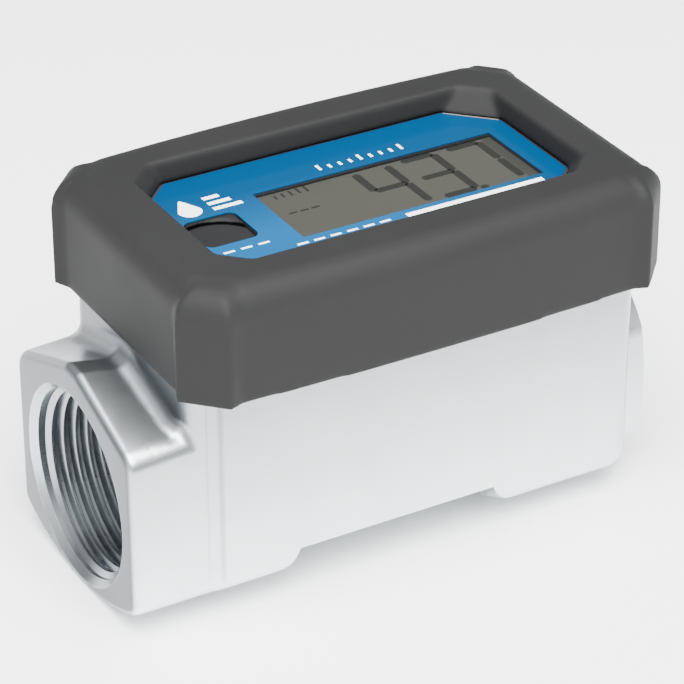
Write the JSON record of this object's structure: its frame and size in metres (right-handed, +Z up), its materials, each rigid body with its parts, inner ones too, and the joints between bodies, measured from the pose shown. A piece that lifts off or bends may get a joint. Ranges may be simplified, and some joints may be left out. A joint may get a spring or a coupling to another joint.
{
  "type": "digital fuel meter",
  "caption": "In-line turbine fuel meter: a cast body with threaded pipe ports and a sunken face with a display and one key under a soft cover.",
  "frame": {"origin": "on the bore axis, midway between the two port faces", "axes": "+X along the flow axis from the inlet to the outlet port, +Z up through the display face, -Y towards the picture's viewer"},
  "size_m": [0.1016, 0.0586, 0.0647],
  "materials": {
    "cast_aluminium": "satin machined casting",
    "acetal_white": "moulded",
    "bearing_carbon": "ground",
    "spring_steel": "stamped",
    "acetal_black": "moulded",
    "shaft_steel": "ground",
    "magnet_nickel": "plated",
    "cover_rubber_grey": "fine matt moulded",
    "tray_nylon": "moulded",
    "zinc_steel": "zinc plated",
    "seal_rubber": "moulded",
    "plate_plastic": "moulded",
    "label_film": "printed polycarbonate film",
    "window_clear": "clear moulded",
    "lcd_glass": "polarised glass",
    "strip_rubber": "moulded",
    "board_laminate": "solder mask",
    "chip_epoxy": "moulded",
    "cell_steel": "nickel plated",
    "coil_copper": "enamelled wire",
    "core_steel": "turned",
    "pin_tinned": "tinned",
    "button_grey": "matt moulded"
  },
  "bodies": {
    "housing": {"meter_body": "cast_aluminium", "inlet_support": "acetal_white", "outlet_support": "acetal_white", "inlet_bearing": "bearing_carbon", "outlet_bearing": "bearing_carbon", "inlet_retaining_ring": "spring_steel", "outlet_retaining_ring": "spring_steel", "bezel_cover": "cover_rubber_grey", "electronics_tray": "tray_nylon", "tray_screws": "zinc_steel", "housing_seal": "seal_rubber", "face_plate": "plate_plastic", "face_label": "label_film", "display_window": "window_clear", "lcd_glass": "lcd_glass", "lcd_connector_strips": "strip_rubber", "circuit_board": "board_laminate", "board_screws": "zinc_steel", "board_chips": "chip_epoxy", "battery_cells": "cell_steel", "battery_clips": "spring_steel", "coil_bobbin": "acetal_black", "coil_winding": "coil_copper", "coil_core": "core_steel", "coil_pins": "pin_tinned", "button_dome": "spring_steel"},
    "rotor": {"turbine_rotor": "acetal_black", "rotor_shaft": "shaft_steel", "rotor_magnets": "magnet_nickel"},
    "button": {"display_button": "button_grey"}
  },
  "joints": [
    {"name": "rotor_spin", "type": "hinge", "parent": "housing", "child": "rotor", "pos_m": [0, 0, 0], "axis": [1, 0, 0], "continuous": true},
    {"name": "display_button_press", "type": "slide", "parent": "housing", "child": "button", "axis": [0, 0, -1], "range_m": [0, 0.0006], "stiffness_N_per_m": 2000, "deforming": ["button_dome"]}
  ]
}
